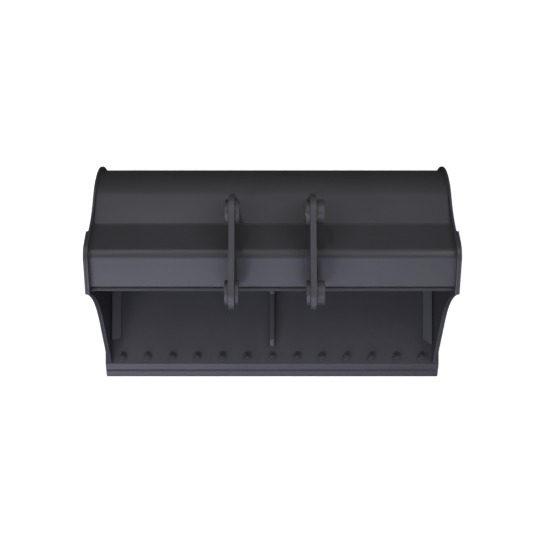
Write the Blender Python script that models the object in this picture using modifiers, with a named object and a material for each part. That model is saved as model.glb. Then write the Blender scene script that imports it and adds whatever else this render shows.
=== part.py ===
"""Ditch cleaning bucket of a 20 to 25 t excavator.

A rolled shell under a bent hood, two side plates with outer doublers, two pin ears with bushed
bosses, and a reversible cutting edge bolted under the base edge.

Units are metres. +X runs along the cutting edge, -Y points forward to it and +Z is up. The origin
lies on the ground, below the middle of the overall box.

The bucket is drawn in section. A section point is (forward, height): forward is measured from the
axis of the heel roll towards the cutting edge, height from the inside face of the floor.
"""
import math

import bmesh
import bpy
from mathutils import Matrix

# Fit between touching pieces, and how finely round stretches are drawn and shaded
FIT_GAP = 0.0003
CHORD_ERROR = 0.0003
WELD_DISTANCE = 0.00001
RING_STEPS = 32
BOLT_STEPS = 12
PLATE_CREASE = math.radians(20)
ROUND_CREASE = math.radians(35)

# Base edge, welded to the front of the floor
EDGE_LENGTH = 2.000
BASE_WIDTH = 0.220
BASE_THICKNESS = 0.025
BASE_BEVEL_RUN = 0.034
BASE_BEVEL_DROP = 0.015

# Bolt-on edge, the same on both long sides so that it can be turned round
EDGE_WIDTH = 0.244
EDGE_THICKNESS = 0.025
EDGE_BEVEL_RUN = 0.029
EDGE_BEVEL_DROP = 0.014
EDGE_NOSE_RUN = 0.005

# Edge bolts and their nuts
BOLT_DIAMETER = 0.024
BOLT_CLEARANCE = 0.0005
BOLT_PITCH = 0.150
BOLT_END = 0.105
BOLT_INSET = 0.076
BOLT_HEAD_RIM = 0.011
BOLT_HEAD_HEIGHT = 0.014
BOLT_HEAD_RECESS = 0.0005
BOLT_TIP = 0.006
BOLT_TIP_CHAMFER = 0.002
NUT_WALL = 0.006
NUT_HEIGHT = 0.024
NUT_CHAMFER_SLOPE = math.radians(30)

# Shell: floor, heel roll, straight back and crown
SHELL_THICKNESS = 0.014
FLOOR_LENGTH = 0.672
HEEL_RISE = 0.245
HEEL_ROLL = 0.276
BACK_SLOPE = math.radians(24)
BACK_LENGTH = 0.235
CROWN_RADIUS = 0.520
LIP_SLOPE = math.radians(10)

# Hood over the crown
HOOD_THICKNESS = 0.012
HOOD_FOOT = 0.177
HOOD_REAR_SLOPE = math.radians(41)
HOOD_FRONT_SLOPE = math.radians(18)
HOOD_BEND = 0.060
HOOD_SETBACK = 0.028

# Side plates and their doublers
SIDE_THICKNESS = 0.012
SIDE_OVERHANG = 0.022
HOOD_RECESS = 0.036
SIDE_NECK = 0.440
MOUTH_OVERHANG = 0.018
MOUTH_SLOPE = math.radians(45)
TOE_INSET = 0.043
TOE_HEIGHT = 0.024
EDGE_PROUD = 0.018
DOUBLER_THICKNESS = 0.012
DOUBLER_WIDTH = 0.140
DOUBLER_TAIL = 0.142
DOUBLER_TAIL_DEPTH = 0.060
DOUBLER_CROTCH = 0.060

# Pin ears, bosses and bushes
PIN_BORE = 0.080
BUSH_WALL = 0.010
BUSH_RECESS = 0.0015
BOSS_WALL = 0.0135
BOSS_CHAMFER = 0.003
BOSS_INNER_STANDOFF = 0.021
BOSS_LEFT_STANDOFF = 0.021
BOSS_RIGHT_STANDOFF = 0.043
REAR_PIN_FORWARD = -0.007
REAR_PIN_HEIGHT = 0.743
PIN_SPACING = 0.419
PIN_LINE_SLOPE = math.radians(7.8)
EAR_THICKNESS = 0.030
EAR_SPACING = 0.416
EAR_FRONT_RIM = 0.0235
EAR_REAR_RIM = 0.0285
EAR_WAIST = 0.870
EAR_FOOT = 0.016
EAR_FRONT_INSET = 0.005

# Stiffeners
RIB_THICKNESS = 0.025
RIB_DEPTH = 0.060
RIB_FLOOR_REACH = 0.087
RIB_LIP_REACH = 0.014
BAR_WIDTH = 0.065
BAR_THICKNESS = 0.012
BAR_SLOPE = math.radians(45)
BAR_REACH = 0.034
BAR_MITRE = 0.033
GUSSET_THICKNESS = 0.012
GUSSET_INSET = 0.050

# Finishes: linear colour, roughness, metallic
PAINT = ((0.055, 0.055, 0.066, 1.0), 0.55, 0.0)
BARE_STEEL = ((0.28, 0.27, 0.26, 1.0), 0.40, 1.0)
BLACK_STEEL = ((0.050, 0.050, 0.058, 1.0), 0.45, 0.3)

RIGHT_ANGLE = math.pi / 2


# Section helpers


def step(point, angle, distance):
    """Return the point at a distance from another, in the direction of an angle."""
    return (point[0] + distance * math.cos(angle), point[1] + distance * math.sin(angle))


def meet(first, first_angle, second, second_angle):
    """Return where the line through one point at an angle meets the line through another."""
    across = (second[0] - first[0]) * math.sin(second_angle) - (second[1] - first[1]) * math.cos(second_angle)
    return step(first, first_angle, across / math.sin(second_angle - first_angle))


def bearing(start, end):
    """Return the angle of the direction from one point to another."""
    return math.atan2(end[1] - start[1], end[0] - start[0])


def arc_steps(radius, sweep):
    """Return how many chords keep an arc within the chord error."""
    chord_angle = 2 * math.acos(1 - CHORD_ERROR / radius)
    return max(2, math.ceil(abs(sweep) / chord_angle))


def arc(centre, radius, start, end, steps=None):
    """Return points on an arc between two angles."""
    steps = steps or arc_steps(radius, end - start)
    return [step(centre, start + (end - start) * i / steps, radius) for i in range(steps + 1)]


def circle(centre, radius, steps):
    """Return the points of a closed circle."""
    return arc(centre, radius, 0, 2 * math.pi, steps)[:-1]


def fillet(corner, angle_in, angle_out, radius, steps=None):
    """Return the arc that rounds a corner between two directions of travel."""
    turn = angle_out - angle_in
    start = step(corner, angle_in, -radius * math.tan(abs(turn) / 2))
    side = math.copysign(RIGHT_ANGLE, turn)
    centre = step(start, angle_in + side, radius)
    return arc(centre, radius, angle_in - side, angle_out - side, steps)


def clip(path, low, high):
    """Return the stretch of a path that runs forward from one forward distance to another."""
    def at(forward):
        for (f0, h0), (f1, h1) in zip(path, path[1:]):
            if f0 <= forward <= f1:
                return (forward, h0 + (h1 - h0) * (forward - f0) / (f1 - f0))
        return min((path[0], path[-1]), key=lambda point: abs(point[0] - forward))

    return [at(low)] + [point for point in path if low < point[0] < high] + [at(high)]


def lobe_tangent(foot, pin, radius, side):
    """Return the angle on a lobe where a straight edge from a foot touches it."""
    reach = math.dist(foot, pin)
    return bearing(pin, foot) + side * math.acos(radius / reach)


# Sizes that follow from the driving dimensions

GROUND_DROP = BASE_THICKNESS + EDGE_THICKNESS
DOUBLER_OUTER = EDGE_LENGTH / 2 - EDGE_PROUD
SIDE_OUTER = DOUBLER_OUTER - DOUBLER_THICKNESS - FIT_GAP
SIDE_INNER = SIDE_OUTER - SIDE_THICKNESS
PLATE_END = SIDE_INNER - FIT_GAP

BASE_NOSE = FLOOR_LENGTH + BASE_WIDTH
BEVEL_START = BASE_NOSE - BASE_BEVEL_RUN
TOE = (BASE_NOSE - TOE_INSET, TOE_HEIGHT)
BOLT_LINE = BASE_NOSE - BOLT_INSET
EDGE_TIP = BOLT_LINE + EDGE_WIDTH / 2
EDGE_REAR = BOLT_LINE - EDGE_WIDTH / 2
BOLT_ROW = EDGE_LENGTH - 2 * BOLT_END
BOLT_COUNT = 1 + round(BOLT_ROW / BOLT_PITCH)
BOLT_SPACING = BOLT_ROW / (BOLT_COUNT - 1)

HEEL = (0.0, HEEL_RISE)
SHELL_LOWER_ROLL = HEEL_RISE + SHELL_THICKNESS
SHELL_LOWER_HEEL = (SHELL_LOWER_ROLL - HEEL_ROLL, HEEL_RISE)
SIDE_LOWER_ROLL = HEEL_RISE + GROUND_DROP
SIDE_BACK = -(HEEL_ROLL + SIDE_OVERHANG)
SIDE_LOWER_HEEL = (SIDE_BACK + SIDE_LOWER_ROLL, HEEL_RISE)
MIDDLE = (min(SIDE_BACK, -HEEL_ROLL) + EDGE_TIP) / 2

BACK_NORMAL = BACK_SLOPE + RIGHT_ANGLE
HOOD_REAR_NORMAL = HOOD_REAR_SLOPE + RIGHT_ANGLE
HOOD_FRONT_NORMAL = RIGHT_ANGLE - HOOD_FRONT_SLOPE
LIP_ANGLE = RIGHT_ANGLE - LIP_SLOPE
BACK_START = step(HEEL, BACK_NORMAL, HEEL_ROLL)
BACK_END = step(BACK_START, BACK_SLOPE, BACK_LENGTH)
CROWN = step(BACK_END, BACK_NORMAL, -CROWN_RADIUS)
LIP_END = step(CROWN, LIP_ANGLE, CROWN_RADIUS)

HOOD_REAR_END = step(step(BACK_START, BACK_NORMAL, FIT_GAP), BACK_SLOPE, HOOD_FOOT)
HOOD_SEAT = step(CROWN, LIP_ANGLE + HOOD_SETBACK / CROWN_RADIUS, CROWN_RADIUS + FIT_GAP)
HOOD_FRONT_END = step(HOOD_SEAT, HOOD_FRONT_NORMAL, HOOD_THICKNESS)

BUSH_RADIUS = PIN_BORE / 2 + BUSH_WALL
BOSS_BORE = BUSH_RADIUS + FIT_GAP
BOSS_RADIUS = BOSS_BORE + BOSS_WALL
REAR_PIN = (REAR_PIN_FORWARD, REAR_PIN_HEIGHT)
FRONT_PIN = step(REAR_PIN, PIN_LINE_SLOPE, PIN_SPACING)


# Section paths, each drawn from the heel or the floor towards the mouth


def shell_path(inset):
    """Return the line at an inset inside the outer face of the shell, from floor to upper lip."""
    floor = (FLOOR_LENGTH - FIT_GAP, inset - SHELL_THICKNESS)
    sweep = RIGHT_ANGLE - BACK_SLOPE
    lower = arc(SHELL_LOWER_HEEL, SHELL_LOWER_ROLL - inset, 3 * RIGHT_ANGLE, 2 * RIGHT_ANGLE,
                arc_steps(SHELL_LOWER_ROLL, RIGHT_ANGLE))
    upper = arc(HEEL, HEEL_ROLL - inset, 2 * RIGHT_ANGLE, BACK_NORMAL, arc_steps(HEEL_ROLL, sweep))
    return [floor] + lower + upper[1:] + crown_path(inset)


def crown_path(inset):
    """Return the crown's stretch of a shell path."""
    steps = arc_steps(CROWN_RADIUS, BACK_NORMAL - LIP_ANGLE)
    return arc(CROWN, CROWN_RADIUS - inset, BACK_NORMAL, LIP_ANGLE, steps)


def back_point(offset):
    """Return where the straight back starts, on a line at an offset outside the shell."""
    return step(HEEL, BACK_NORMAL, HEEL_ROLL + offset)


def hood_rear_point(offset):
    """Return the rear end of a line at an offset outside the hood's rear leg."""
    return step(HOOD_REAR_END, HOOD_REAR_NORMAL, offset)


def hood_front_point(offset):
    """Return the front end of a line at an offset outside the hood's front leg."""
    return step(HOOD_FRONT_END, HOOD_FRONT_NORMAL, offset)


def hood_bend(offset):
    """Return the bend of a line at an offset outside the hood."""
    corner = meet(hood_rear_point(offset), HOOD_REAR_SLOPE, hood_front_point(offset), -HOOD_FRONT_SLOPE)
    steps = arc_steps(HOOD_BEND, HOOD_REAR_SLOPE + HOOD_FRONT_SLOPE)
    return fillet(corner, HOOD_REAR_SLOPE, -HOOD_FRONT_SLOPE, HOOD_BEND + offset, steps)


def hood_path(offset):
    """Return the line at an offset outside the hood, from its foot on the back to its front end."""
    foot = meet(hood_rear_point(offset), HOOD_REAR_SLOPE, back_point(FIT_GAP), BACK_SLOPE)
    return [foot] + hood_bend(offset) + [hood_front_point(offset)]


def mouth_corner():
    """Return the upper front corner of the side plates."""
    forward = LIP_END[0] + MOUTH_OVERHANG
    return meet((forward, 0.0), RIGHT_ANGLE, hood_front_point(HOOD_RECESS), -HOOD_FRONT_SLOPE)


def mouth_path(corner, toe):
    """Return the arc of a mouth edge, which leaves its corner vertically and bends to the toe's line."""
    bend = meet(corner, -RIGHT_ANGLE, toe, -MOUTH_SLOPE)
    turn = RIGHT_ANGLE - MOUTH_SLOPE
    radius = (corner[1] - bend[1]) / math.tan(turn / 2)
    return arc((corner[0] + radius, corner[1]), radius, 2 * RIGHT_ANGLE, 2 * RIGHT_ANGLE + turn)


def side_top_path():
    """Return the upper edge of the side plates, from the heel roll to the mouth corner."""
    neck = meet(back_point(SIDE_OVERHANG), BACK_SLOPE, hood_rear_point(HOOD_RECESS), HOOD_REAR_SLOPE)
    return fillet(neck, BACK_SLOPE, HOOD_REAR_SLOPE, SIDE_NECK) + hood_bend(HOOD_RECESS) + [mouth_corner()]


def side_outline():
    """Return the outline of a side plate, which stands on the ground and on the base edge."""
    lower = arc(SIDE_LOWER_HEEL, SIDE_LOWER_ROLL, 3 * RIGHT_ANGLE, 2 * RIGHT_ANGLE)
    upper = arc(HEEL, HEEL_ROLL + SIDE_OVERHANG, 2 * RIGHT_ANGLE, BACK_NORMAL)
    keel_end = min(FLOOR_LENGTH, EDGE_REAR) - FIT_GAP
    keel = [TOE, (TOE[0], FIT_GAP), (keel_end, FIT_GAP), (keel_end, -GROUND_DROP)]
    return lower + upper[1:] + side_top_path() + mouth_path(mouth_corner(), TOE)[1:] + keel


def doubler_outline():
    """Return the outline of a doubler: a band along the top and mouth edges of the side plate."""
    corner = mouth_corner()
    apex = meet(hood_rear_point(HOOD_RECESS), HOOD_REAR_SLOPE, corner, -HOOD_FRONT_SLOPE)
    tail = step(apex, HOOD_REAR_SLOPE, -DOUBLER_TAIL)
    tail_inner = step(tail, HOOD_REAR_NORMAL, -DOUBLER_TAIL_DEPTH)
    crotch = meet((corner[0] - DOUBLER_WIDTH, 0.0), RIGHT_ANGLE,
                  hood_front_point(HOOD_RECESS - DOUBLER_WIDTH), -HOOD_FRONT_SLOPE)
    crotch_round = fillet(crotch, RIGHT_ANGLE, bearing(crotch, tail_inner), DOUBLER_CROTCH)
    inner_toe = step(TOE, -MOUTH_SLOPE - RIGHT_ANGLE, DOUBLER_WIDTH)
    inner_foot = meet(inner_toe, -MOUTH_SLOPE, (0.0, FIT_GAP), 0.0)
    inner_mouth = mouth_path(crotch_round[0], inner_toe)
    outer = [tail] + hood_bend(HOOD_RECESS) + mouth_path(corner, TOE)
    foot = [TOE, (TOE[0], FIT_GAP), inner_foot]
    return outer + foot + inner_mouth[:0:-1] + crotch_round + [tail_inner]


def ear_outline():
    """Return the outline of an ear: two lobes, a hollow top edge and a foot on the back and hood."""
    front_radius = BOSS_RADIUS + EAR_FRONT_RIM
    rear_radius = BOSS_RADIUS + EAR_REAR_RIM
    rear_foot = step(back_point(FIT_GAP), BACK_SLOPE, EAR_FOOT)
    front_foot = step(hood_front_point(FIT_GAP), -HOOD_FRONT_SLOPE, -EAR_FRONT_INSET)
    foot = hood_path(FIT_GAP)[:-1]
    waist = waist_centre(front_radius, rear_radius)
    rear_lobe = arc(REAR_PIN, rear_radius, math.tau + lobe_tangent(rear_foot, REAR_PIN, rear_radius, -1),
                    bearing(REAR_PIN, waist))
    front_lobe = arc(FRONT_PIN, front_radius, bearing(FRONT_PIN, waist),
                     lobe_tangent(front_foot, FRONT_PIN, front_radius, 1))
    top = arc(waist, EAR_WAIST, bearing(waist, REAR_PIN), bearing(waist, FRONT_PIN))
    return [rear_foot] + rear_lobe + top[1:-1] + front_lobe + [front_foot] + foot[::-1]


def waist_centre(front_radius, rear_radius):
    """Return the centre of the arc that touches both lobes from above."""
    to_front = EAR_WAIST + front_radius
    to_rear = EAR_WAIST + rear_radius
    along = (PIN_SPACING ** 2 + to_rear ** 2 - to_front ** 2) / (2 * PIN_SPACING)
    above = math.sqrt(to_rear ** 2 - along ** 2)
    return step(step(REAR_PIN, PIN_LINE_SLOPE, along), PIN_LINE_SLOPE + RIGHT_ANGLE, above)


def rib_outline():
    """Return the outline of the rib, which follows the inside of the shell from floor to lip."""
    seat = shell_path(SHELL_THICKNESS + FIT_GAP)[1:]
    face = shell_path(SHELL_THICKNESS + RIB_DEPTH)[1:]
    nose_end = FLOOR_LENGTH + RIB_FLOOR_REACH
    nose = arc((nose_end - RIB_DEPTH, FIT_GAP), RIB_DEPTH - FIT_GAP, RIGHT_ANGLE, 0.0)
    lip_cut = LIP_END[0] + RIB_LIP_REACH
    lip_top = meet(seat[-1], -LIP_SLOPE, (lip_cut, 0.0), RIGHT_ANGLE)
    lip_bottom = meet(face[-1], -LIP_SLOPE, (lip_cut, 0.0), RIGHT_ANGLE)
    return seat + [lip_top, lip_bottom] + face[::-1] + nose


def gusset_outline():
    """Return the outline of a gusset, which fills the torque box between shell and hood."""
    hood_under = hood_path(-HOOD_THICKNESS - FIT_GAP)
    crown = [back_point(FIT_GAP)] + crown_path(-FIT_GAP)
    low = hood_path(-HOOD_THICKNESS)[0][0] + GUSSET_INSET
    high = HOOD_SEAT[0] - GUSSET_INSET
    return clip(hood_under, low, high) + clip(crown, low, high)[::-1]


# Placing: a section stands across X, a plan lies level


def section_frame(x):
    """Return the frame that stands a (forward, height) outline up at a place along X."""
    turn = Matrix(((0, 0, -1), (-1, 0, 0), (0, 1, 0))).to_4x4()
    return Matrix.Translation((x, MIDDLE, GROUND_DROP)) @ turn


def pin_frame(x, pin):
    """Return the frame whose Z runs along X through a pin centre."""
    place = Matrix.Translation((x, MIDDLE - pin[0], GROUND_DROP + pin[1]))
    return place @ Matrix.Rotation(RIGHT_ANGLE, 4, "Y")


def level_frame(x, forward, height):
    """Return the upright frame at a place along X and a section point."""
    return Matrix.Translation((x, MIDDLE - forward, GROUND_DROP + height))


# Solids


def new_collection(name):
    """Return a new collection in the scene."""
    collection = bpy.data.collections.new(name)
    bpy.context.scene.collection.children.link(collection)
    return collection


def welded(name, source, frame, crease=PLATE_CREASE):
    """Replace a source object by a closed mesh object of its evaluated shape, set in a frame."""
    bpy.context.scene.collection.objects.link(source)
    graph = bpy.context.evaluated_depsgraph_get()
    mesh = bpy.data.meshes.new_from_object(source.evaluated_get(graph))
    bpy.data.objects.remove(source)
    mesh.name = name
    shape = bmesh.new()
    shape.from_mesh(mesh)
    bmesh.ops.remove_doubles(shape, verts=shape.verts, dist=WELD_DISTANCE)
    bmesh.ops.recalc_face_normals(shape, faces=shape.faces)
    shape.to_mesh(mesh)
    shape.free()
    mesh.shade_smooth()
    mesh.set_sharp_from_angle(angle=crease)
    solid = bpy.data.objects.new(name, mesh)
    solid.matrix_world = frame
    return solid


def extruded(name, outline, thickness, frame, holes=()):
    """Return a flat outline with holes, thickened equally to both sides of the frame's XY plane."""
    curve = bpy.data.curves.new(name, "CURVE")
    curve.dimensions = "2D"
    curve.fill_mode = "BOTH"
    curve.extrude = thickness / 2
    for loop in (outline, *holes):
        spline = curve.splines.new("POLY")
        spline.points.add(len(loop) - 1)
        for point, (across, up) in zip(spline.points, loop):
            point.co = (across, up, 0.0, 1.0)
        spline.use_cyclic_u = True
    return welded(name, bpy.data.objects.new(name, curve), frame)


def turned(name, profile, frame, steps):
    """Return a closed (radius, height) profile turned round the frame's Z axis."""
    mesh = bpy.data.meshes.new(name)
    links = [(i, (i + 1) % len(profile)) for i in range(len(profile))]
    mesh.from_pydata([(radius, 0.0, height) for radius, height in profile], links, [])
    source = bpy.data.objects.new(name, mesh)
    screw = source.modifiers.new("turn", "SCREW")
    screw.steps = steps
    screw.render_steps = steps
    screw.use_merge_vertices = True
    screw.merge_threshold = WELD_DISTANCE
    return welded(name, source, frame, ROUND_CREASE)


def copies_along_edge(name, first):
    """Return one solid for each bolt, all with the mesh of the first."""
    pieces = []
    for i in range(BOLT_COUNT):
        piece = bpy.data.objects.new(f"{name}_{i + 1:02d}", first.data)
        piece.matrix_world = Matrix.Translation((i * BOLT_SPACING, 0.0, 0.0)) @ first.matrix_world
        pieces.append(piece)
    bpy.data.objects.remove(first)
    return pieces


def cut(solid, cutter, operation="DIFFERENCE"):
    """Cut a solid with a cutter, or keep what both share."""
    boolean = solid.modifiers.new(operation.lower(), "BOOLEAN")
    boolean.operation = operation
    boolean.object = cutter
    return solid


def finish(solid, collection, parent, look):
    """Give a solid its paint, its parent and its place in the collection."""
    colour, roughness, metallic = look
    material = bpy.data.materials.new(solid.name + "_finish")
    material.use_nodes = True
    shader = material.node_tree.nodes["Principled BSDF"]
    shader.inputs["Base Color"].default_value = colour
    shader.inputs["Roughness"].default_value = roughness
    shader.inputs["Metallic"].default_value = metallic
    material.diffuse_color = colour
    solid.data.materials.clear()
    solid.data.materials.append(material)
    collection.objects.link(solid)
    solid.parent = parent


def hide_cutter(solid, collection):
    """Keep a cutter out of the model."""
    solid.hide_render = True
    solid.display_type = "WIRE"
    collection.objects.link(solid)
    return solid


# Pieces


def make_shell():
    """Return the rolled plate of floor, heel, back and upper lip."""
    outline = shell_path(0) + shell_path(SHELL_THICKNESS)[::-1]
    return extruded("shell", outline, 2 * PLATE_END, section_frame(0))


def make_hood():
    """Return the bent plate that closes the torque box over the crown."""
    outline = hood_path(0) + hood_path(-HOOD_THICKNESS)[::-1]
    return extruded("hood", outline, 2 * PLATE_END, section_frame(0))


def make_side_plates():
    """Return both side plates and both doublers."""
    side_middle = (SIDE_INNER + SIDE_OUTER) / 2
    doubler_middle = DOUBLER_OUTER - DOUBLER_THICKNESS / 2
    pieces = []
    for name, side in (("left", -1), ("right", 1)):
        pieces.append(extruded(f"{name}_side_plate", side_outline(), SIDE_THICKNESS,
                               section_frame(side * side_middle)))
        pieces.append(extruded(f"{name}_side_doubler", doubler_outline(), DOUBLER_THICKNESS,
                               section_frame(side * doubler_middle)))
    return pieces


def bored(name, outline, bores):
    """Return a bar of the edge's length with the bolt holes in it."""
    frame = section_frame(0)
    return welded(name, cut(extruded(name, outline, EDGE_LENGTH, frame), bores), frame)


def make_base_edge(bores):
    """Return the lip plate with its bevelled nose and bolt holes."""
    outline = [
        (FLOOR_LENGTH, 0.0),
        (BEVEL_START, 0.0),
        (BASE_NOSE, -BASE_BEVEL_DROP),
        (BASE_NOSE, -BASE_THICKNESS),
        (FLOOR_LENGTH, -BASE_THICKNESS),
    ]
    return bored("base_edge", outline, bores)


def make_bolt_on_edge(bores):
    """Return the reversible cutting edge with its countersunk bolt holes."""
    top = -BASE_THICKNESS - FIT_GAP
    half = EDGE_WIDTH / 2
    flank = half - EDGE_NOSE_RUN
    front_half = [
        (half, -GROUND_DROP),
        (flank, -BASE_THICKNESS - EDGE_BEVEL_DROP),
        (flank - EDGE_BEVEL_RUN, top),
    ]
    rear_half = [(-across, height) for across, height in reversed(front_half)]
    outline = [(BOLT_LINE + across, height) for across, height in front_half + rear_half]
    return bored("bolt_on_edge", outline, bores)


def bolt_frame():
    """Return the upright frame of the first bolt, on the ground."""
    return level_frame(-BOLT_ROW / 2, BOLT_LINE, -GROUND_DROP)


def make_bolt_bores():
    """Return the cutter for the bolt holes of both edges: a row of bores with countersinks below."""
    head = BOLT_DIAMETER / 2 + BOLT_HEAD_RIM + BOLT_CLEARANCE
    bore = BOLT_DIAMETER / 2 + BOLT_CLEARANCE
    top = GROUND_DROP + BOLT_HEAD_HEIGHT
    neck = BOLT_HEAD_HEIGHT + BOLT_HEAD_RECESS
    profile = [(0.0, top), (bore, top), (bore, neck), (head, BOLT_HEAD_RECESS), (head, -BOLT_HEAD_HEIGHT),
               (0.0, -BOLT_HEAD_HEIGHT)]
    bores = turned("bolt_bores", profile, bolt_frame(), BOLT_STEPS)
    row = bores.modifiers.new("bolt_row", "ARRAY")
    row.count = BOLT_COUNT
    row.use_relative_offset = False
    row.use_constant_offset = True
    row.constant_offset_displace = (BOLT_SPACING, 0.0, 0.0)
    row.use_merge_vertices = False
    return bores


def make_bolts():
    """Return the plow bolts, with countersunk heads flush with the underside of the edge."""
    shank = BOLT_DIAMETER / 2
    head = shank + BOLT_HEAD_RIM
    tip = GROUND_DROP + NUT_HEIGHT + BOLT_TIP
    neck = BOLT_HEAD_HEIGHT + BOLT_HEAD_RECESS
    profile = [(0.0, tip), (shank - BOLT_TIP_CHAMFER, tip), (shank, tip - BOLT_TIP_CHAMFER), (shank, neck),
               (head, BOLT_HEAD_RECESS), (0.0, BOLT_HEAD_RECESS)]
    return copies_along_edge("edge_bolt", turned("edge_bolt", profile, bolt_frame(), BOLT_STEPS))


def make_nuts(cutters):
    """Return the nuts on the base edge: a hexagon, chamfered at the top and bored."""
    bore = BOLT_DIAMETER / 2 + FIT_GAP
    flat = bore + NUT_WALL
    corner = flat / math.cos(math.pi / 6)
    spread = corner - flat
    fall = spread * math.tan(NUT_CHAMFER_SLOPE)
    crown_profile = [(0.0, NUT_HEIGHT + fall), (flat - spread, NUT_HEIGHT + fall),
                     (corner + spread, NUT_HEIGHT - 2 * fall), (corner + spread, -fall), (0.0, -fall)]
    bore_profile = [(0.0, 2 * NUT_HEIGHT), (bore, 2 * NUT_HEIGHT), (bore, -NUT_HEIGHT), (0.0, -NUT_HEIGHT)]
    foot = level_frame(-BOLT_ROW / 2, BOLT_LINE, FIT_GAP)
    crown = hide_cutter(turned("nut_crown", crown_profile, foot, BOLT_STEPS), cutters)
    hole = hide_cutter(turned("nut_hole", bore_profile, foot, BOLT_STEPS), cutters)
    middle = foot @ Matrix.Translation((0.0, 0.0, NUT_HEIGHT / 2))
    nut = extruded("edge_nut", circle((0, 0), corner, 6), NUT_HEIGHT, middle)
    cut(nut, crown, "INTERSECT")
    cut(nut, hole)
    return copies_along_edge("edge_nut", welded("edge_nut", nut, middle))


def make_ears():
    """Return both pin ears."""
    holes = [circle(pin, BOSS_RADIUS + FIT_GAP, RING_STEPS) for pin in (FRONT_PIN, REAR_PIN)]
    return [
        extruded("left_ear", ear_outline(), EAR_THICKNESS, section_frame(-EAR_SPACING / 2), holes),
        extruded("right_ear", ear_outline(), EAR_THICKNESS, section_frame(EAR_SPACING / 2), holes),
    ]


def make_bosses():
    """Return the four bosses and the four bushes in them."""
    pieces = []
    for side_name, side, standoff in (("left", -1, BOSS_LEFT_STANDOFF), ("right", 1, BOSS_RIGHT_STANDOFF)):
        inner = EAR_SPACING / 2 - EAR_THICKNESS / 2 - BOSS_INNER_STANDOFF
        outer = EAR_SPACING / 2 + EAR_THICKNESS / 2 + standoff
        for pin_name, pin in (("front", FRONT_PIN), ("rear", REAR_PIN)):
            frame = pin_frame(side * (inner + outer) / 2, pin)
            half = (outer - inner) / 2
            boss = [(BOSS_RADIUS - BOSS_CHAMFER, half), (BOSS_RADIUS, half - BOSS_CHAMFER),
                    (BOSS_RADIUS, BOSS_CHAMFER - half), (BOSS_RADIUS - BOSS_CHAMFER, -half),
                    (BOSS_BORE, -half), (BOSS_BORE, half)]
            pieces.append(turned(f"{side_name}_{pin_name}_boss", boss, frame, RING_STEPS))
            reach = half - BUSH_RECESS
            bore = PIN_BORE / 2
            bush = [(BUSH_RADIUS, reach), (BUSH_RADIUS, -reach), (bore, -reach), (bore, reach)]
            pieces.append(turned(f"{side_name}_{pin_name}_bush", bush, frame, RING_STEPS))
    return pieces


def make_rib():
    """Return the centre rib inside the shell."""
    return extruded("centre_rib", rib_outline(), RIB_THICKNESS, section_frame(0))


def bar_frame(side, start):
    """Return the frame of a corner bar: X runs along it from its square end, Y up its slope."""
    rise = math.sin(BAR_SLOPE)
    run = math.cos(BAR_SLOPE)
    turn = Matrix(((0, side * run, -side * rise), (-side, 0, 0), (0, rise, run)))
    foot = level_frame(side * (PLATE_END - BAR_WIDTH * run), start, FIT_GAP)
    return foot @ turn.to_4x4() @ Matrix.Translation((0.0, 0.0, BAR_THICKNESS / 2))


def make_corner_bars():
    """Return the bars across the corners of floor and side plates.

    Both are the same bar, square at one end and mitred at the other, turned end for end.
    """
    rear = SHELL_LOWER_HEEL[0]
    front = FLOOR_LENGTH + BAR_REACH
    outline = [(0.0, 0.0), (front - rear, 0.0), (front - rear + BAR_MITRE, BAR_WIDTH), (0.0, BAR_WIDTH)]
    return [
        extruded("left_corner_bar", outline, BAR_THICKNESS, bar_frame(-1, front)),
        extruded("right_corner_bar", outline, BAR_THICKNESS, bar_frame(1, rear)),
    ]


def make_gussets():
    """Return the plates inside the torque box, one below each ear."""
    return [
        extruded("left_box_gusset", gusset_outline(), GUSSET_THICKNESS, section_frame(-EAR_SPACING / 2)),
        extruded("right_box_gusset", gusset_outline(), GUSSET_THICKNESS, section_frame(EAR_SPACING / 2)),
    ]


def main():
    """Build the bucket in an emptied scene."""
    for old in list(bpy.data.objects):
        bpy.data.objects.remove(old)
    parts = new_collection("ditch_cleaning_bucket")
    cutters = new_collection("cutters")
    bucket = bpy.data.objects.new("bucket", None)
    parts.objects.link(bucket)

    bores = hide_cutter(make_bolt_bores(), cutters)
    edges = [make_base_edge(bores), make_bolt_on_edge(bores)]
    stiffeners = [make_rib(), *make_corner_bars(), *make_gussets()]
    for solid in (make_shell(), make_hood(), *make_side_plates(), *edges, *make_ears(), *stiffeners):
        finish(solid, parts, bucket, PAINT)
    for solid in make_bosses():
        finish(solid, parts, bucket, BARE_STEEL if solid.name.endswith("bush") else PAINT)
    for solid in (*make_bolts(), *make_nuts(cutters)):
        finish(solid, parts, bucket, BLACK_STEEL)


main()
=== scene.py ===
"""Looks of the ditch cleaning bucket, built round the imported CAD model.

Every visible plate is a copy of its CAD node with rounded edges. Bosses, bushes, bolts and nuts are
turned afresh with finer detail, and weld seams are laid where plates meet. Lengths are in metres.
"""
import math

import bmesh
import bpy
from mathutils import Matrix, Vector


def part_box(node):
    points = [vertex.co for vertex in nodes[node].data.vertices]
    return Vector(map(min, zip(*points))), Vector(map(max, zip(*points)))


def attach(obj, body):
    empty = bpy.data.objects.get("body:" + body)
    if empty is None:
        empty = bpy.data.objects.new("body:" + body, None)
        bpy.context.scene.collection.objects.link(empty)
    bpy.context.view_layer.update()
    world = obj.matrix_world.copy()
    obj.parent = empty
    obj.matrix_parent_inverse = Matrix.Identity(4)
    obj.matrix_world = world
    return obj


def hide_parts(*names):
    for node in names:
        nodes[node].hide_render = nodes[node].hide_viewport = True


BODY = "root"

# Camera: straight above the floor, as the photograph was taken
PHOTO_PIXELS = 540
FOCAL_PIXELS = 881.3
SENSOR_MM = 36.0
CAMERA_PLACE = (-0.0125, 0.027, 5.340)
CAMERA_REACH = 60.0

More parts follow.
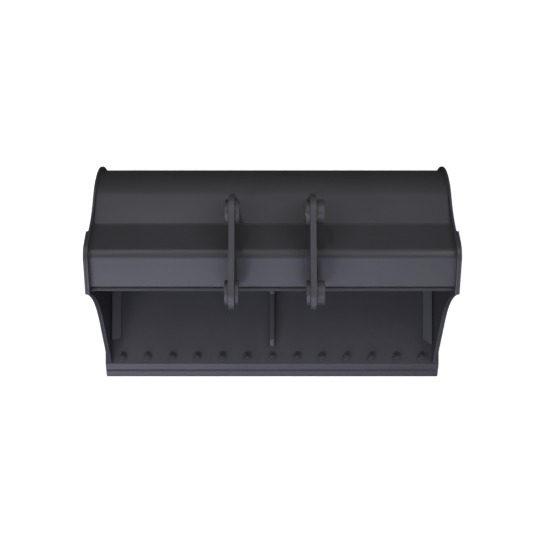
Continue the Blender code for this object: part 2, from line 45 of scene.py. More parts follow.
# Paint and steel: texture scales per metre, and the span of noise that colours and gloss are spread over
NOISE_LOW = 0.3
NOISE_HIGH = 0.7
CLOUD_SCALE = 5.0
CLOUD_DETAIL = 4.0
GLOSS_SCALE = 38.0
GLOSS_DETAIL = 3.0
PEEL_DETAIL = 2.0
PEEL_STRENGTH = 0.25
PLATE_PEEL = 420.0
SEAM_PEEL = 260.0
FASTENER_PEEL = 700.0
PAINT_SPECULAR = 0.5
MARK_SCALE = 900.0
MARK_DETAIL = 3.0
MARK_STRENGTH = 0.15
MARK_DEPTH = 0.0002
MARK_SQUASH = (1.0, 0.05, 0.05)

# Rounded plate edges
WELD_DISTANCE = 0.00001
FLAT_ANGLE = math.radians(0.5)
SHARP_ANGLE = math.radians(18)
EDGE_ROUND = 0.0020
EDGE_SEGMENTS = 2
EDGE_PROFILE = 0.5
NORMAL_WEIGHT = 60
CAP_FACING = 0.99

# Bosses and bushes
RING_STEPS = 96
PIN_RADIUS = 0.040
BUSH_WALL = 0.010
BUSH_LEAD = 0.002
BUSH_RIM = 0.001
BUSH_SHARP = math.radians(35)
FIT_GAP = 0.0003
BOSS_WALL = 0.0135
BOSS_RADIUS = PIN_RADIUS + BUSH_WALL + BOSS_WALL + FIT_GAP
BOSS_BORE = PIN_RADIUS + BUSH_WALL + FIT_GAP
BOSS_CHAMFER = 0.0015
BOSS_ROUND = 0.0008
BOSS_BULGE = 0.3 * BOSS_ROUND
BOSS_SHARP = math.radians(50)

# Bolts and nuts
BOLT_COUNT = 13
BOLT_STEPS = 48
BOLT_RADIUS = 0.012
BOLT_SPIN = math.radians(30)
NECK_HEIGHT = 0.0145
THREAD_LENGTH = 0.012
THREAD_RUN_IN = 0.001
THREAD_PITCH = 0.003
THREAD_DEPTH = 0.0012
THREAD_STEPS = 6
THREAD_TIP = 0.0020
TIP_DEPTH = 1.6 * THREAD_DEPTH
END_DEPTH = 2.2 * THREAD_DEPTH
HEAD_RADIUS = 0.0227
HEAD_RIM = 0.0016
NUT_FLAT = 0.0183
NUT_BORE = BOLT_RADIUS + 0.0001
NUT_LEAD = 0.0015
NUT_CHAMFER = math.tan(math.radians(30))
NUT_FACE = 0.0010
NUT_TOP_FALL = 0.3 * NUT_FACE
NUT_RIM = 0.0006
WASHER_RIM = 0.0004
FASTENER_SHARP = math.radians(24)

# Weld seams: the profile is in legs along one face and up the other
SEAM_LEG = 0.0055
SEAM_SINK = 0.0006
SEAM_STEP = 0.0026
SEAM_RIPPLE = 0.07
SEAM_PROFILE = ((1.0, 0.06), (0.73, 0.43), (0.43, 0.73), (0.06, 1.0))
SEAM_END = 0.45
SEAM_END_STEP = 0.2
EAR_SEAM_LEG = 0.0070
EAR_SEAM_STOP = 0.06
BOSS_SEAM_LEG = 0.0030
CROSS_SEAM_INSET = 0.006
RIB_SEAM_INSET = 0.002
BACK_SLOPE = math.radians(24)
JOINT_HALF = 0.005
JOINT_RISE = 0.0001
JOINT_SINK = 0.0006

# Places on the sections, near which a run along an outline starts, passes or ends
HEEL_HEIGHT = 0.30
CAVITY_WALL = 0.014
FLOOR_TOP = 0.050
LIP_INSIDE = (-0.066, 0.655)
LIP_TOP_Y = -0.02
LIP_LOWEST = 0.55
BACK_OVERLAP = 0.01
BACK_DROP = 0.05
FOOT_POINTS = 4
TAIL_REACH = 0.09
TOE_BAND = 0.004
DOUBLER_HEIGHT = 0.5

# Groove between the hood's front end and the upper lip
GROOVE_WIDTH = 0.0125
GROOVE_DEPTH = 0.0060

# Studio
FLOOR_SIZE = 40.0
FLOOR_DROP = 0.0005
FLOOR_CLOUD = 2.0
FLOOR_ROUGHNESS = 0.9
FLOOR_SPECULAR = 0.1
FLOOR_GLOW = 0.66
BACKDROP_RADIUS = 18.0
BACKDROP_SEGMENTS = 64
BACKDROP_RINGS = 32
BACKDROP_CLOUD = 0.2
PAPER_DETAIL = 2.0
WORLD_LIGHT = 0.01
LIGHT_TARGET = Vector((0.0, 0.0, 0.4))
LIGHT_DISTANCE = 7.0
SOFT = 3.0
COOL = (0.93, 0.94, 1.20)
PLAIN = (1.0, 0.98, 1.04)
# Name, azimuth and elevation in degrees, diameter in metres, watts, colour
LIGHTS = (
    ("front_left", 252, 44, 1.2, 70.0, COOL),
    ("front", 266, 50, SOFT, 20.0, COOL),
    ("front_right", 286, 47, 2.0, 54.0, COOL),
    ("front_left_low", 240, 22, SOFT, 76.0, COOL),
    ("front_low", 270, 8, SOFT, 88.0, COOL),
    ("left", 216, 45, SOFT, 72.0, PLAIN),
    ("left_side", 160, 3, SOFT, 55.0, PLAIN),
    ("right_low", 0, 22, SOFT, 18.0, PLAIN),
    ("right_side", 20, 3, SOFT, 50.0, PLAIN),
    ("right", 324, 45, SOFT, 16.0, PLAIN),
    ("rear_key", 107, 46, 0.3, 42.0, PLAIN),
    ("rear_left", 144, 53, SOFT, 64.0, PLAIN),
    ("rear_right", 36, 53, SOFT, 98.0, PLAIN),
    ("rear_back", 72, 45, SOFT, 20.0, PLAIN),
    ("rear_low", 90, 15, SOFT, 7.0, PLAIN),
    ("rear_top", 84, 78, SOFT, 15.0, PLAIN),
)

# CAD nodes by the way they are dressed
PLATES = ("hood", "left_side_plate", "right_side_plate", "left_side_doubler", "right_side_doubler",
          "base_edge", "bolt_on_edge", "centre_rib")
EARS = ("left_ear", "right_ear")
BARS = ("left_corner_bar", "right_corner_bar")
GUSSETS = ("left_box_gusset", "right_box_gusset")


def new_material(name):
    """Return a new material, its node tree and its shader."""
    material = bpy.data.materials.new(name)
    material.use_nodes = True
    tree = material.node_tree
    return material, tree, tree.nodes["Principled BSDF"]


def noise(tree, scale, detail, squash=(1.0, 1.0, 1.0)):
    """Return the factor of a noise texture in object space."""
    place = tree.nodes.new("ShaderNodeTexCoord")
    mapping = tree.nodes.new("ShaderNodeMapping")
    mapping.inputs["Scale"].default_value = squash
    texture = tree.nodes.new("ShaderNodeTexNoise")
    texture.inputs["Scale"].default_value = scale
    texture.inputs["Detail"].default_value = detail
    tree.links.new(place.outputs["Object"], mapping.inputs["Vector"])
    tree.links.new(mapping.outputs["Vector"], texture.inputs["Vector"])
    return texture.outputs["Fac"]


def ramp(tree, factor, low, high, socket):
    """Drive a socket between two values with a factor."""
    scale = tree.nodes.new("ShaderNodeMapRange")
    scale.inputs["From Min"].default_value = NOISE_LOW
    scale.inputs["From Max"].default_value = NOISE_HIGH
    scale.inputs["To Min"].default_value = low
    scale.inputs["To Max"].default_value = high
    tree.links.new(factor, scale.inputs["Value"])
    tree.links.new(scale.outputs["Result"], socket)


def blend_colours(tree, factor, first, second, socket):
    """Drive a colour socket between two colours with a factor."""
    mix = tree.nodes.new("ShaderNodeValToRGB")
    mix.color_ramp.elements[0].position = NOISE_LOW
    mix.color_ramp.elements[1].position = NOISE_HIGH
    mix.color_ramp.elements[0].color = (*first, 1.0)
    mix.color_ramp.elements[1].color = (*second, 1.0)
    tree.links.new(factor, mix.inputs["Fac"])
    tree.links.new(mix.outputs["Color"], socket)


def add_bump(tree, shader, height, strength, distance):
    """Give a shader a bump from a height."""
    bump = tree.nodes.new("ShaderNodeBump")
    bump.inputs["Strength"].default_value = strength
    bump.inputs["Distance"].default_value = distance
    tree.links.new(height, bump.inputs["Height"])
    tree.links.new(bump.outputs["Normal"], shader.inputs["Normal"])


def make_paint(name, dark, light, rough, peel, depth):
    """Return a satin paint with slight clouding, uneven gloss and fine orange peel."""
    material, tree, shader = new_material(name)
    blend_colours(tree, noise(tree, CLOUD_SCALE, CLOUD_DETAIL), dark, light, shader.inputs["Base Color"])
    ramp(tree, noise(tree, GLOSS_SCALE, GLOSS_DETAIL), *rough, shader.inputs["Roughness"])
    shader.inputs["Specular IOR Level"].default_value = PAINT_SPECULAR
    add_bump(tree, shader, noise(tree, peel, PEEL_DETAIL), PEEL_STRENGTH, depth)
    return material


def make_steel(name, dark, light, rough, squash):
    """Return a bare steel with turning marks."""
    material, tree, shader = new_material(name)
    marks = noise(tree, MARK_SCALE, MARK_DETAIL, squash)
    blend_colours(tree, marks, dark, light, shader.inputs["Base Color"])
    ramp(tree, marks, *rough, shader.inputs["Roughness"])
    shader.inputs["Metallic"].default_value = 1.0
    add_bump(tree, shader, marks, MARK_STRENGTH, MARK_DEPTH)
    return material


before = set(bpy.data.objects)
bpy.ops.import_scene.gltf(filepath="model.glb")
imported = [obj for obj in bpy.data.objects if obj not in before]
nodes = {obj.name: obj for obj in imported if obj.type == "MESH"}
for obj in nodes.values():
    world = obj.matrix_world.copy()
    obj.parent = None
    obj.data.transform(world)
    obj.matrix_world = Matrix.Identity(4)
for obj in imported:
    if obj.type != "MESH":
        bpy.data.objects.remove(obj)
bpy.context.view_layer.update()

PAINT = make_paint("paint", dark=(0.051, 0.051, 0.055), light=(0.056, 0.056, 0.060),
                   rough=(0.37, 0.43), peel=PLATE_PEEL, depth=0.0004)
EDGE_PAINT = make_paint("edge_paint", dark=(0.060, 0.060, 0.064), light=(0.070, 0.070, 0.075),
                        rough=(0.32, 0.38), peel=PLATE_PEEL, depth=0.0003)
SEAM_PAINT = make_paint("seam_paint", dark=(0.048, 0.048, 0.052), light=(0.058, 0.058, 0.062),
                        rough=(0.34, 0.44), peel=SEAM_PEEL, depth=0.0006)
# Corner bars: the same paint made about twice as light, painted light standing for the brighter light the
# bars catch
BAR_PAINTED_LIGHT = make_paint("bar_painted_light", dark=(0.094, 0.094, 0.098), light=(0.104, 0.104, 0.108),
                       rough=(0.36, 0.44), peel=PLATE_PEEL, depth=0.0004)
# Ears and bosses: the same paint made a little lighter, painted light for the brighter tone they take, and
# rougher as well
PIVOT_PAINTED_LIGHT = make_paint("pivot_painted_light", dark=(0.060, 0.060, 0.064), light=(0.068, 0.068, 0.072),
                         rough=(0.46, 0.52), peel=PLATE_PEEL, depth=0.0004)
FASTENER = make_paint("fastener", dark=(0.050, 0.050, 0.054), light=(0.060, 0.060, 0.064),
                      rough=(0.34, 0.44), peel=FASTENER_PEEL, depth=0.0002)
BUSH_STEEL = make_steel("bush_steel", dark=(0.30, 0.29, 0.28), light=(0.42, 0.41, 0.39),
                        rough=(0.32, 0.46), squash=MARK_SQUASH)


def show(piece, slot, *replaced):
    """Make a piece ride on the bucket and stand for CAD nodes."""
    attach(piece, BODY)
    if replaced:
        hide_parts(*replaced)
    return piece


def add_piece(name, mesh, *materials):
    """Return a new object of a mesh in the scene, with smooth shading."""
    for material in materials:
        mesh.materials.append(material)
    mesh.shade_smooth()
    piece = bpy.data.objects.new(name, mesh)
    bpy.context.scene.collection.objects.link(piece)
    return piece


def to_mesh(shape, name):
    """Return a new mesh of a shape, and free the shape."""
    mesh = bpy.data.meshes.new(name)
    shape.to_mesh(mesh)
    shape.free()
    return mesh


def even_normals(piece):
    """Shade a piece with normals weighted to its large faces."""
    weighted = piece.modifiers.new("normals", "WEIGHTED_NORMAL")
    weighted.keep_sharp = True
    weighted.weight = NORMAL_WEIGHT


def clean_copy(node):
    """Return the shape of a CAD node with its triangles joined into flat faces."""
    shape = bmesh.new()
    shape.from_mesh(nodes[node].data)
    bmesh.ops.remove_doubles(shape, verts=shape.verts, dist=WELD_DISTANCE)
    bmesh.ops.dissolve_limit(shape, angle_limit=FLAT_ANGLE, verts=shape.verts, edges=shape.edges)
    return shape


def make_plate(node, paint=PAINT):
    """Return a copy of a CAD plate with rounded edges, which stands for it."""
    return round_plate(node, clean_copy(node), paint)


def round_plate(node, shape, paint=PAINT):
    """Return a piece of a plate's shape with rounded edges, which stands for a CAD node."""
    sharp = [edge for edge in shape.edges if edge.is_manifold and edge.calc_face_angle(0.0) > SHARP_ANGLE]
    for face in shape.faces:
        face.material_index = 0
    bmesh.ops.bevel(shape, geom=sharp, offset=EDGE_ROUND, offset_type="OFFSET", segments=EDGE_SEGMENTS,
                    profile=EDGE_PROFILE, affect="EDGES", clamp_overlap=True, material=1)
    name = node + "_plate"
    piece = add_piece(name, to_mesh(shape, name), paint, EDGE_PAINT)
    even_normals(piece)
    return show(piece, "body_paint", node)


def skin(rings, closed_ends=False, wrap=False):
    """Return a mesh shape whose faces join a row of equal rings."""
    shape = bmesh.new()
    rows = [[shape.verts.new(point) for point in ring_points] for ring_points in rings]
    count = len(rows[0])
    pairs = list(zip(rows, rows[1:]))
    if wrap:
        pairs.append((rows[-1], rows[0]))
    for first, second in pairs:
        for i in range(count):
            j = (i + 1) % count
            shape.faces.new((first[i], first[j], second[j], second[i]))
    if closed_ends:
        shape.faces.new(reversed(rows[0]))
        shape.faces.new(rows[-1])
    bmesh.ops.recalc_face_normals(shape, faces=shape.faces)
    return shape


def full_turn(steps):
    """Return the angles of even steps round a circle."""
    return [math.tau * i / steps for i in range(steps)]


def ring(radius, along):
    """Return a circle of points round X at a place along it."""
    turns = full_turn(RING_STEPS)
    return [Vector((along, radius * math.cos(turn), radius * math.sin(turn))) for turn in turns]


def flat_ring(radius, up, steps):
    """Return a circle of points round Z at a height."""
    turns = full_turn(steps)
    return [Vector((radius * math.cos(turn), radius * math.sin(turn), up)) for turn in turns]


def make_turned(name, profile, place, sharp, material):
    """Return a closed (radius, along X) profile turned round X at a place."""
    mesh = to_mesh(skin([ring(radius, along) for radius, along in profile], wrap=True), name)
    mesh.transform(Matrix.Translation(place))
    piece = add_piece(name, mesh, material)
    mesh.set_sharp_from_angle(angle=sharp)
    return piece


def boss_profile(half):
    """Return the profile of a boss of a half length, with chamfers that are rounded at both ends."""
    flank = half - BOSS_CHAMFER
    edge = BOSS_RADIUS - BOSS_CHAMFER
    return [
        (BOSS_BORE, half), (edge - BOSS_ROUND, half), (edge, half - BOSS_BULGE),
        (BOSS_RADIUS - BOSS_BULGE, flank), (BOSS_RADIUS, flank - BOSS_ROUND),
        (BOSS_RADIUS, BOSS_ROUND - flank), (BOSS_RADIUS - BOSS_BULGE, -flank),
        (edge, BOSS_BULGE - half), (edge - BOSS_ROUND, -half), (BOSS_BORE, -half),
    ]


def bush_profile(half):
    """Return the profile of a bush of a half length, with a lead-in for the pin at both ends."""
    rim = PIN_RADIUS + BUSH_WALL
    lead = PIN_RADIUS + BUSH_LEAD
    return [
        (rim, half - BUSH_RIM), (rim - BUSH_RIM, half), (lead, half), (PIN_RADIUS, half - BUSH_LEAD),
        (PIN_RADIUS, BUSH_LEAD - half), (lead, -half), (rim - BUSH_RIM, -half), (rim, BUSH_RIM - half),
    ]


def make_bosses():
    """Make the bosses and bushes on the centres of their CAD nodes."""
    for side in ("left", "right"):
        for pin in ("front", "rear"):
            boss = f"{side}_{pin}_boss"
            bush = f"{side}_{pin}_bush"
            low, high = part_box(boss)
            centre = (low + high) / 2
            body = boss_profile((high.x - low.x) / 2)
            show(make_turned(boss + "_body", body, centre, BOSS_SHARP, PIVOT_PAINTED_LIGHT), "body_paint", boss)
            low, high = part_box(bush)
            sleeve = bush_profile((high.x - low.x) / 2)
            show(make_turned(bush + "_sleeve", sleeve, centre, BUSH_SHARP, BUSH_STEEL), "bush_steel", bush)


def hexagon(turn):
    """Return the distance to a hexagon of unit half width, in the direction of a turn."""
    return 1 / math.cos((turn + math.pi / 6) % (math.pi / 3) - math.pi / 6)


def hex_ring(level, way):
    """Return a hexagon round Z, whose corners lie past a level, up or down, by the chamfer."""
    points = []
    for turn in full_turn(RING_STEPS):
        radius = NUT_FLAT * hexagon(turn)
        up = level + way * (radius - NUT_FLAT) * NUT_CHAMFER
        points.append(Vector((radius * math.cos(turn), radius * math.sin(turn), up)))
    return points


def nut_mesh(height):
    """Return a hexagon nut, chamfered on top, with a washer face below and a countersunk bore."""
    rings = [
        flat_ring(NUT_BORE, height - NUT_LEAD, RING_STEPS),
        flat_ring(NUT_BORE + NUT_LEAD, height, RING_STEPS),
        flat_ring(NUT_FLAT - NUT_RIM, height, RING_STEPS),
        hex_ring(height - NUT_TOP_FALL, -1),
        hex_ring(NUT_FACE, 1),
        flat_ring(NUT_FLAT - WASHER_RIM, NUT_FACE, RING_STEPS),
        flat_ring(NUT_FLAT - NUT_RIM, 0.0, RING_STEPS),
        flat_ring(NUT_BORE, 0.0, RING_STEPS),
    ]
    return to_mesh(skin(rings, wrap=True), "edge_nut")


def thread_ring(up, length):
    """Return a circle round Z with the depth of a bolt's thread at a height, fading out at the tip."""
    fade = min(1.0, max(0.0, (length - up) / THREAD_TIP))
    points = []
    for i, turn in enumerate(full_turn(BOLT_STEPS)):
        phase = (up / THREAD_PITCH - i / BOLT_STEPS) % 1.0
        depth = THREAD_DEPTH * abs(2 * phase - 1)
        radius = (BOLT_RADIUS - depth) * fade + (BOLT_RADIUS - TIP_DEPTH) * (1 - fade)
        points.append(Vector((radius * math.cos(turn), radius * math.sin(turn), up)))
    return points


def bolt_mesh(length):
    """Return a plow bolt that stands on its head, threaded at the tip."""
    thread_start = length - THREAD_LENGTH
    rings = [
        flat_ring(HEAD_RADIUS - HEAD_RIM, 0.0, BOLT_STEPS),
        flat_ring(HEAD_RADIUS, HEAD_RIM / 2, BOLT_STEPS),
        flat_ring(BOLT_RADIUS, NECK_HEIGHT, BOLT_STEPS),
        flat_ring(BOLT_RADIUS, thread_start - THREAD_RUN_IN, BOLT_STEPS),
    ]
    count = round((length - thread_start) / THREAD_PITCH * THREAD_STEPS)
    for i in range(count + 1):
        rings.append(thread_ring(thread_start + (length - thread_start) * i / count, length))
    rings.append(flat_ring(BOLT_RADIUS - END_DEPTH, length, BOLT_STEPS))
    return to_mesh(skin(rings, closed_ends=True), "edge_bolt")


def make_fasteners():
    """Make the bolts and nuts of the cutting edge in the places of their CAD nodes."""
    low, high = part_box("edge_bolt_01")
    bolt = bolt_mesh(high.z - low.z)
    low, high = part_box("edge_nut_01")
    nut = nut_mesh(high.z - low.z)
    spin = Matrix.Rotation(BOLT_SPIN, 4, "Z")
    for i in range(1, BOLT_COUNT + 1):
        for kind, mesh, suffix in (("edge_bolt", bolt, "screw"), ("edge_nut", nut, "hex")):
            node = f"{kind}_{i:02d}"
            low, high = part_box(node)
            own = mesh.copy()
            own.transform(Matrix.Translation(((low.x + high.x) / 2, (low.y + high.y) / 2, low.z)) @ spin)
            piece = add_piece(f"{node}_{suffix}", own, FASTENER)
            own.set_sharp_from_angle(angle=FASTENER_SHARP)
            show(piece, "fastener_steel", node)
    bpy.data.meshes.remove(bolt)
    bpy.data.meshes.remove(nut)


def section(node):
    """Return the (Y, Z) outline of a CAD plate that stands across X."""
    shape = clean_copy(node)
    caps = [face for face in shape.faces if face.normal.x > CAP_FACING]
    cap = max(caps, key=lambda face: face.calc_area())
    outline = [Vector(vert.co.yz) for vert in cap.verts]
    shape.free()
    return outline


def stretch(outline, start, via, end):
    """Return the stretch of an outline between the points nearest to two places, by way of a third."""
    def nearest(place):
        return min(range(len(outline)), key=lambda i: (outline[i] - Vector(place)).length)

    count = len(outline)
    first, middle, last = nearest(start), nearest(via), nearest(end)
    forward = (middle - first) % count <= (last - first) % count
    step = 1 if forward else -1
    steps = ((last - first) * step) % count
    return [outline[(first + step * i) % count] for i in range(steps + 1)]


def resample(points, sides_a, sides_b):
    """Return even steps along a path, each with the two leg directions there."""
    rows = []
    for i in range(len(points) - 1):
        length = (points[i + 1] - points[i]).length
        count = max(1, round(length / SEAM_STEP))
        for j in range(count):
            share = j / count
            rows.append((points[i].lerp(points[i + 1], share), sides_a[i].lerp(sides_a[i + 1], share),
                         sides_b[i].lerp(sides_b[i + 1], share)))
    rows.append((points[-1], sides_a[-1], sides_b[-1]))
    return rows


def make_seam(name, points, sides_a, sides_b, leg=SEAM_LEG):
    """Make a rippled fillet weld along a corner, with one leg on each of the two faces."""
    rows = resample(points, sides_a, sides_b)
    rings = []
    for i, (point, side_a, side_b) in enumerate(rows):
        ripple = SEAM_RIPPLE if i % 2 else -SEAM_RIPPLE
        ends = min(1.0, SEAM_END + SEAM_END_STEP * min(i, len(rows) - 1 - i))
        size = leg * (1 + ripple) * ends
        sink = SEAM_SINK / size
        profile = ((-sink, -sink), (1.0, -sink), *SEAM_PROFILE, (-sink, 1.0))
        rings.append([point + (side_a * across + side_b * up) * size for across, up in profile])
    mesh = to_mesh(skin(rings, closed_ends=True), name)
    return show(add_piece(name, mesh, SEAM_PAINT), "body_paint")


def normals_of(path, away):
    """Return the unit normals of a (Y, Z) path, on the side that faces away from a place."""
    normals = []
    for i in range(len(path)):
        along = path[min(i + 1, len(path) - 1)] - path[max(i - 1, 0)]
        normals.append(Vector((-along.y, along.x)).normalized())
    middle = len(path) // 2
    if normals[middle].dot(path[middle] - Vector(away)) < 0:
        normals = [-normal for normal in normals]
    return normals


def seam_on_section(name, path, away, x, inward, leg=SEAM_LEG):
    """Make a seam between a plate across X and a surface that runs along a (Y, Z) path."""
    normals = normals_of(path, away)
    points = [Vector((x, point.x, point.y)) for point in path]
    sides_a = [Vector((inward, 0.0, 0.0)) for _ in path]
    sides_b = [Vector((0.0, normal.x, normal.y)) for normal in normals]
    return make_seam(name, points, sides_a, sides_b, leg)


def inside_far(path, inside):
    """Return a place on the far side of a path from the cavity, to turn its normals inward."""
    middle = path[len(path) // 2]
    return middle + (middle - Vector(inside))


def make_seams():
    """Lay the weld seams where the CAD plates meet."""
    shell = section("shell")
    hood = section("hood")
    low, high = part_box("shell")
    inside = ((low.y + high.y) / 2, HEEL_HEIGHT)
    outside_run = stretch(shell, (LIP_TOP_Y, high.z), (high.y, HEEL_HEIGHT), (low.y, low.z))
    inside_run = stretch(shell, LIP_INSIDE, (high.y - CAVITY_WALL, HEEL_HEIGHT), (low.y, FLOOR_TOP))
    apex = max(hood, key=lambda point: point.y)
    foot = max(hood, key=lambda point: point.x)
    front = min(hood, key=lambda point: point.x)
    hood_run = stretch(hood, foot, apex, front)
    below = (apex.x, HEEL_HEIGHT)
    back_run = [point for point in outside_run
                if point.x > foot.x - BACK_OVERLAP or point.y < foot.y - BACK_DROP]
    rib_low, rib_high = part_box("centre_rib")
    rib_run = [point for point in inside_run if point.x > rib_low.y + RIB_SEAM_INSET]
    shell_far = inside_far(inside_run, inside)
    rib_far = inside_far(rib_run, inside)
    for side_name, side in (("left", -1), ("right", 1)):
        plate_low, plate_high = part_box(f"{side_name}_side_plate")
        face = side * min(abs(plate_low.x), abs(plate_high.x))
        seam_on_section(f"{side_name}_heel_seam", back_run, inside, face, -side)
        seam_on_section(f"{side_name}_inner_seam", inside_run, shell_far, face, -side)
        seam_on_section(f"{side_name}_hood_seam", hood_run, below, face, -side)
        make_ear_seams(side_name, hood_run, below)
        make_boss_seams(side_name)
        make_doubler_seam(side_name, side)
        seam_on_section(f"rib_{side_name}_seam", rib_run, rib_far, side * rib_high.x, side)
    make_foot_seam(foot, hood)
    make_floor_seam()


def make_ear_seams(side_name, hood_run, below):
    """Make the seams on both faces of an ear, along the shell's back and the hood."""
    low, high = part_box(f"{side_name}_ear")
    heel = min((vert.co for vert in nodes[f"{side_name}_ear"].data.vertices), key=lambda co: co.z)
    path = [Vector((heel.y, heel.z))] + hood_run[:-1] + [hood_run[-1].lerp(hood_run[-2], EAR_SEAM_STOP)]
    for face, way, label in ((low.x, -1, "left"), (high.x, 1, "right")):
        seam_on_section(f"{side_name}_ear_{label}_seam", path, below, face, way, EAR_SEAM_LEG)


def make_boss_seams(side_name):
    """Make the ring seams between the bosses of an ear and its two faces."""
    ear_low, ear_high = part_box(f"{side_name}_ear")
    turns = full_turn(RING_STEPS) + [math.tau]
    outward = [Vector((0.0, math.cos(turn), math.sin(turn))) for turn in turns]
    for pin in ("front", "rear"):
        low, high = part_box(f"{side_name}_{pin}_boss")
        centre = (low + high) / 2
        for face, way, label in ((ear_low.x, -1, "left"), (ear_high.x, 1, "right")):
            points = [Vector((face, centre.y, centre.z)) + out * BOSS_RADIUS for out in outward]
            along = [Vector((way, 0.0, 0.0)) for _ in turns]
            make_seam(f"{side_name}_{pin}_boss_{label}_seam", points, outward, along, BOSS_SEAM_LEG)


def make_doubler_seam(side_name, side):
    """Make the seam along the inner edge of a doubler, on the outer face of the side plate."""
    outline = section(f"{side_name}_side_doubler")
    low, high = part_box(f"{side_name}_side_plate")
    face = side * max(abs(low.x), abs(high.x))
    tail = max(outline, key=lambda point: point.x)
    toe = min(outline, key=lambda point: point.x)
    tail_end = [point for point in outline if point.x > tail.x - TAIL_REACH]
    tail_inner = min(tail_end, key=lambda point: point.y)
    toe_end = [point for point in outline if point.y < toe.y + TOE_BAND]
    foot = max(toe_end, key=lambda point: point.x)
    path = stretch(outline, tail, tail_inner, foot)
    normals = normals_of(path, (toe.x, DOUBLER_HEIGHT))
    points = [Vector((face, point.x, point.y)) for point in path]
    sides_a = [Vector((0.0, normal.x, normal.y)) for normal in normals]
    sides_b = [Vector((side, 0.0, 0.0)) for _ in path]
    return make_seam(f"{side_name}_doubler_seam", points, sides_a, sides_b)


def make_foot_seam(foot, hood):
    """Make the seam along the hood's foot on the shell's back."""
    low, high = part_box("hood")
    near_foot = sorted(hood, key=lambda point: (point - foot).length)
    leg_up = max(near_foot[1:FOOT_POINTS], key=lambda point: point.y)
    up = (leg_up - foot).normalized()
    ends = [Vector((x, foot.x, foot.y)) for x in (low.x + CROSS_SEAM_INSET, high.x - CROSS_SEAM_INSET)]
    side_a = Vector((0.0, math.cos(BACK_SLOPE), -math.sin(BACK_SLOPE)))
    side_b = Vector((0.0, up.x, up.y))
    make_seam("hood_foot_seam", ends, [side_a] * 2, [side_b] * 2)


def make_floor_seam():
    """Make the flush joint between the floor and the base edge, as long as the hood is wide."""
    low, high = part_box("hood")
    edge_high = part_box("base_edge")[1]
    across = (JOINT_HALF, JOINT_HALF, -JOINT_HALF, -JOINT_HALF)
    heights = (-JOINT_SINK, JOINT_RISE, JOINT_RISE, -JOINT_SINK)
    corners = [(edge_high.y + step, edge_high.z + height) for step, height in zip(across, heights)]
    rings = [[Vector((x, y, z)) for y, z in corners] for x in (low.x, high.x)]
    piece = add_piece("floor_seam", to_mesh(skin(rings, closed_ends=True), "floor_seam"), PAINT)
    piece.data.shade_flat()
    show(piece, "body_paint")


def make_shell():
    """Make the shell with the groove that shows between its upper lip and the hood's front end."""
    outline = section("shell")
    low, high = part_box("shell")
    hood_end = sorted(section("hood"), key=lambda point: point.x)[:2]
    seat = min(hood_end, key=lambda point: point.y)
    lip = max((point for point in outline if point.x < seat.x), key=lambda point: point.y)
    start = stretch(outline, (low.y, low.z), (high.y, HEEL_HEIGHT), lip)
    rest = stretch(outline, lip, (low.y, FLOOR_TOP), (low.y, low.z))[1:-1]
    kept = [point for point in start if point.x > seat.x or point.y < LIP_LOWEST]
    along = (lip - kept[-1]).normalized()
    inward = Vector((along.y, -along.x))
    if inward.y > 0:
        inward = -inward
    near = kept[-1].lerp(lip, (kept[-1].x - seat.x) / (kept[-1].x - lip.x))
    far = near + along * GROOVE_WIDTH
    notch = [near, near + inward * GROOVE_DEPTH, far + inward * GROOVE_DEPTH, far]
    points = kept + notch + [lip] + rest
    rings = [[Vector((x, point.x, point.y)) for point in points] for x in (low.x, high.x)]
    return round_plate("shell", skin(rings, closed_ends=True))


def make_floor():
    """Make a pale studio floor under the bucket."""
    bpy.ops.mesh.primitive_plane_add(size=FLOOR_SIZE, location=(0.0, 0.0, -FLOOR_DROP))
    floor = bpy.context.object
    floor.name = "studio_floor"
    material, tree, shader = new_material("floor_paper")
    paper = noise(tree, FLOOR_CLOUD, PAPER_DETAIL)
    blend_colours(tree, paper, (0.86, 0.86, 0.86), (0.88, 0.88, 0.88), shader.inputs["Base Color"])
    shader.inputs["Roughness"].default_value = FLOOR_ROUGHNESS
    shader.inputs["Specular IOR Level"].default_value = FLOOR_SPECULAR
    shader.inputs["Emission Color"].default_value = (1.0, 1.0, 1.0, 1.0)
    shader.inputs["Emission Strength"].default_value = FLOOR_GLOW
    floor.data.materials.append(material)
    floor.visible_diffuse = False
    floor.visible_glossy = False


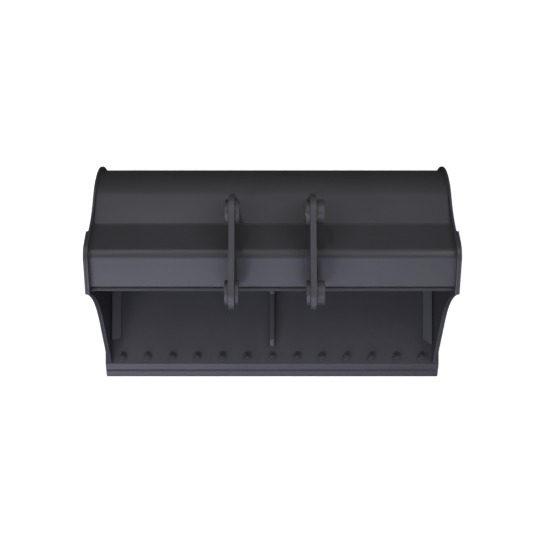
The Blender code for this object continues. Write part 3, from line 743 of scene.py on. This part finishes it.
def make_backdrop():
    """Make a pale dome round the studio, which lights nothing."""
    bpy.ops.mesh.primitive_uv_sphere_add(radius=BACKDROP_RADIUS, segments=BACKDROP_SEGMENTS,
                                         ring_count=BACKDROP_RINGS)
    dome = bpy.context.object
    dome.name = "studio_backdrop"
    material, tree, shader = new_material("backdrop_paper")
    paper = noise(tree, BACKDROP_CLOUD, PAPER_DETAIL)
    blend_colours(tree, paper, (0.60, 0.60, 0.60), (0.62, 0.62, 0.62), shader.inputs["Emission Color"])
    shader.inputs["Base Color"].default_value = (0.0, 0.0, 0.0, 1.0)
    shader.inputs["Specular IOR Level"].default_value = 0.0
    shader.inputs["Emission Strength"].default_value = 1.0
    dome.data.materials.append(material)
    dome.visible_diffuse = False
    dome.visible_glossy = False
    dome.visible_shadow = False


def make_lights():
    """Hang soft round lights round the bucket."""
    for name, azimuth, elevation, size, watts, colour in LIGHTS:
        turn = math.radians(azimuth)
        lift = math.radians(elevation)
        way = Vector((math.cos(turn) * math.cos(lift), math.sin(turn) * math.cos(lift), math.sin(lift)))
        data = bpy.data.lights.new(name, "AREA")
        data.shape = "DISK"
        data.size = size
        data.energy = watts
        data.color = colour
        lamp = bpy.data.objects.new(name, data)
        lamp.location = LIGHT_TARGET + way * LIGHT_DISTANCE
        lamp.rotation_euler = (-way).to_track_quat("-Z", "Y").to_euler()
        bpy.context.scene.collection.objects.link(lamp)
    world = bpy.data.worlds.new("studio")
    world.use_nodes = True
    world.node_tree.nodes["Background"].inputs["Color"].default_value = (1.0, 1.0, 1.0, 1.0)
    world.node_tree.nodes["Background"].inputs["Strength"].default_value = WORLD_LIGHT
    bpy.context.scene.world = world


def make_camera():
    """Set the camera up where the photograph was taken from."""
    data = bpy.data.cameras.new("photo_camera")
    data.sensor_width = SENSOR_MM
    data.lens = FOCAL_PIXELS * SENSOR_MM / PHOTO_PIXELS
    data.clip_end = CAMERA_REACH
    camera = bpy.data.objects.new("photo_camera", data)
    camera.location = CAMERA_PLACE
    bpy.context.scene.collection.objects.link(camera)
    bpy.context.scene.camera = camera


make_shell()
for plate in PLATES:
    make_plate(plate)
# The ears take the lightened pivot paint, painted light
for ear in EARS:
    make_plate(ear, PIVOT_PAINTED_LIGHT)
# The corner bars take the lightened paint, painted light
for bar in BARS:
    make_plate(bar, BAR_PAINTED_LIGHT)
make_seams()
make_bosses()
make_fasteners()
for gusset in GUSSETS:
    nodes[gusset].data.materials.clear()
    nodes[gusset].data.materials.append(PAINT)
make_floor()
make_backdrop()
make_lights()
make_camera()
bpy.context.scene.view_settings.view_transform = "Standard"
